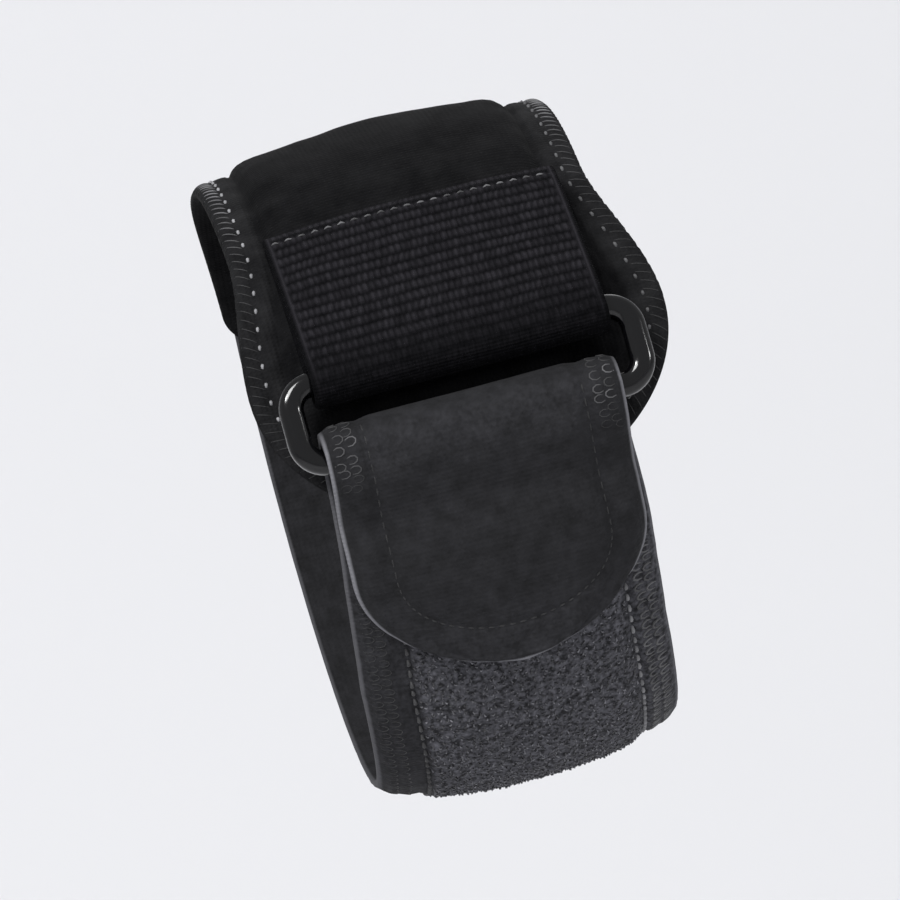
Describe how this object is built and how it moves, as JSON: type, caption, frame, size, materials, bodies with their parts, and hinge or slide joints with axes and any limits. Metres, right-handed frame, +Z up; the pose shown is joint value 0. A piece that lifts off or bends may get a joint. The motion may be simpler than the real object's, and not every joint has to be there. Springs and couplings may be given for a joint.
{
  "type": "tennis elbow strap",
  "caption": "Tennis elbow strap closed round the forearm: padded body, elastic panel, plastic ring, loop-faced strap folded back and held by a hook patch.",
  "frame": {"origin": "middle of the hollow that the forearm fills", "axes": "+X along the forearm towards the elbow, -Y out of the front where the ring is, +Z up"},
  "size_m": [0.0686, 0.1076, 0.1118],
  "materials": {
    "pad_fabric": "matte knit over foam",
    "elastic_webbing": "ribbed woven elastic",
    "ring_plastic": "gloss",
    "strap_fabric": "brushed loop pile, smooth on the skin side",
    "hook_tape": "matte"
  },
  "bodies": {
    "root": {"pad_body": "pad_fabric", "elastic_panel": "elastic_webbing", "strap_ring": "ring_plastic", "loop_strap": "strap_fabric", "hook_patch": "hook_tape"}
  },
  "joints": []
}
